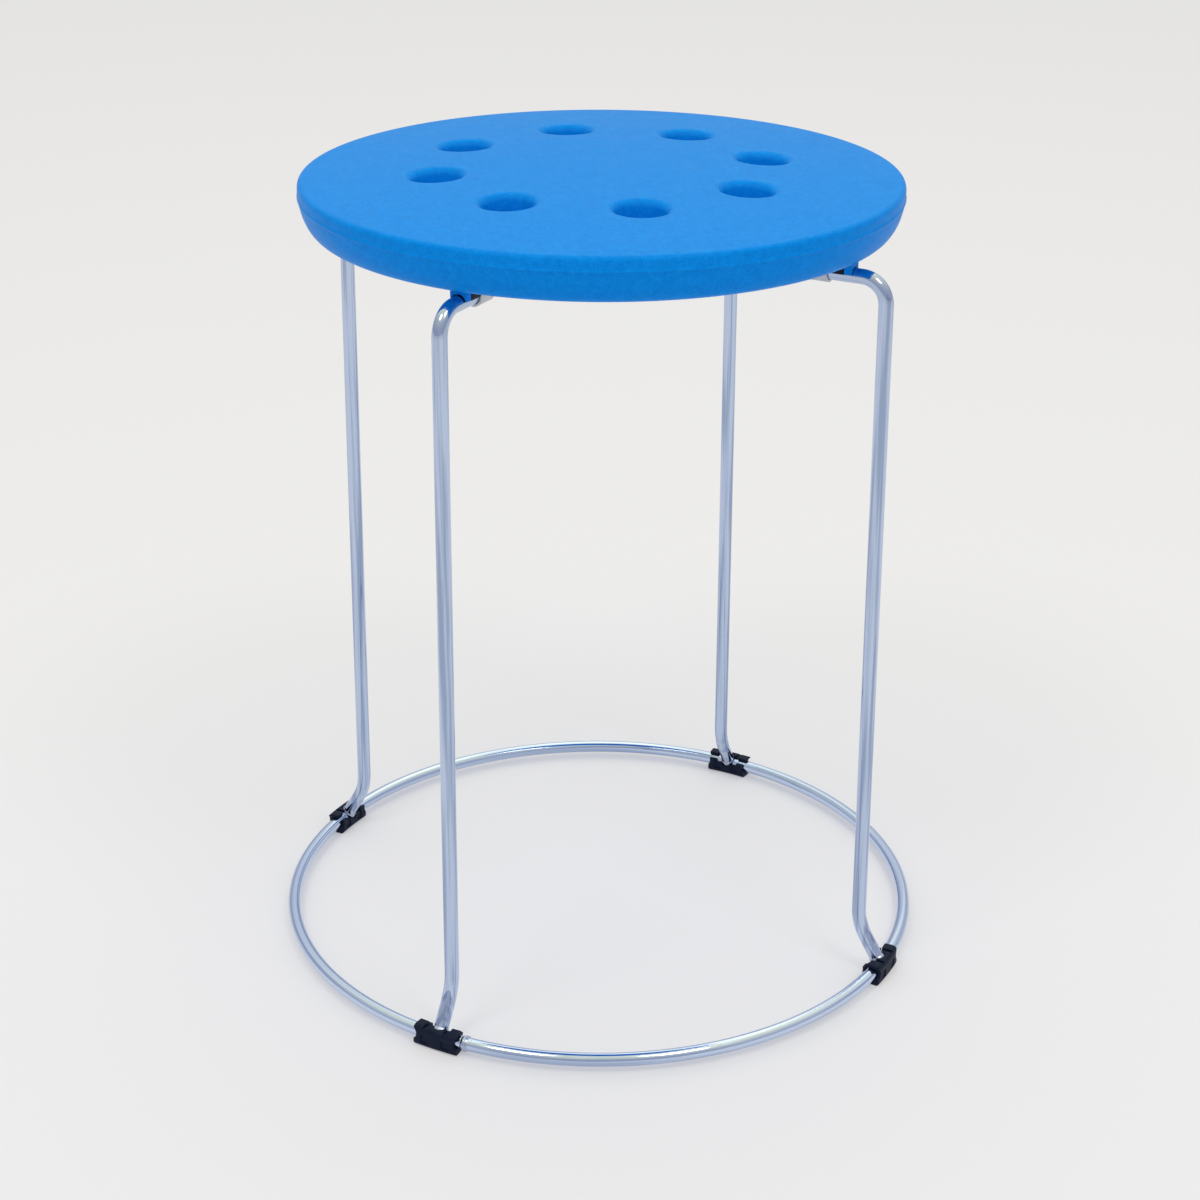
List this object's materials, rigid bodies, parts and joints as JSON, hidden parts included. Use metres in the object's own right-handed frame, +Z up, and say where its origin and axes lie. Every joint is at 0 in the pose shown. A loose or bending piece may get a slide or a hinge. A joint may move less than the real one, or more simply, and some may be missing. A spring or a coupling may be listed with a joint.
{
  "type": "stacking stool",
  "caption": "Low backless stool: round domed moulded seat with round dimples, carried by bent rod legs on a floor ring with clip-on feet, made to stack.",
  "frame": {"origin": "on the floor, under the middle of the seat", "axes": "+Z up; -Y is the front; the four legs stand on the diagonals between X and Y"},
  "size_m": [0.3738, 0.3738, 0.45],
  "materials": {
    "seat_plastic": "satin moulded polypropylene with a fine grain, mid blue",
    "chromed_rod": "bright nickel-chrome plating on drawn steel rod",
    "plated_weld": "plated weld bead, slightly lumpy",
    "clip_plastic": "black moulded plastic, low sheen",
    "zinc_plated_steel": "bright zinc plating"
  },
  "bodies": {
    "root": {"seat_shell": "seat_plastic", "hoop_over": "chromed_rod", "hoop_under": "chromed_rod", "base_ring": "chromed_rod", "ring_seam_weld": "plated_weld", "crossing_weld": "plated_weld", "leg_weld_front_right": "plated_weld", "leg_weld_back_right": "plated_weld", "leg_weld_back_left": "plated_weld", "leg_weld_front_left": "plated_weld", "foot_clip_front_right": "clip_plastic", "foot_clip_back_right": "clip_plastic", "foot_clip_back_left": "clip_plastic", "foot_clip_front_left": "clip_plastic", "rod_pad_front_right": "clip_plastic", "rod_pad_back_right": "clip_plastic", "rod_pad_back_left": "clip_plastic", "rod_pad_front_left": "clip_plastic", "strap_front_right": "zinc_plated_steel", "strap_back_right": "zinc_plated_steel", "strap_back_left": "zinc_plated_steel", "strap_front_left": "zinc_plated_steel", "strap_screws": "zinc_plated_steel"}
  },
  "joints": []
}
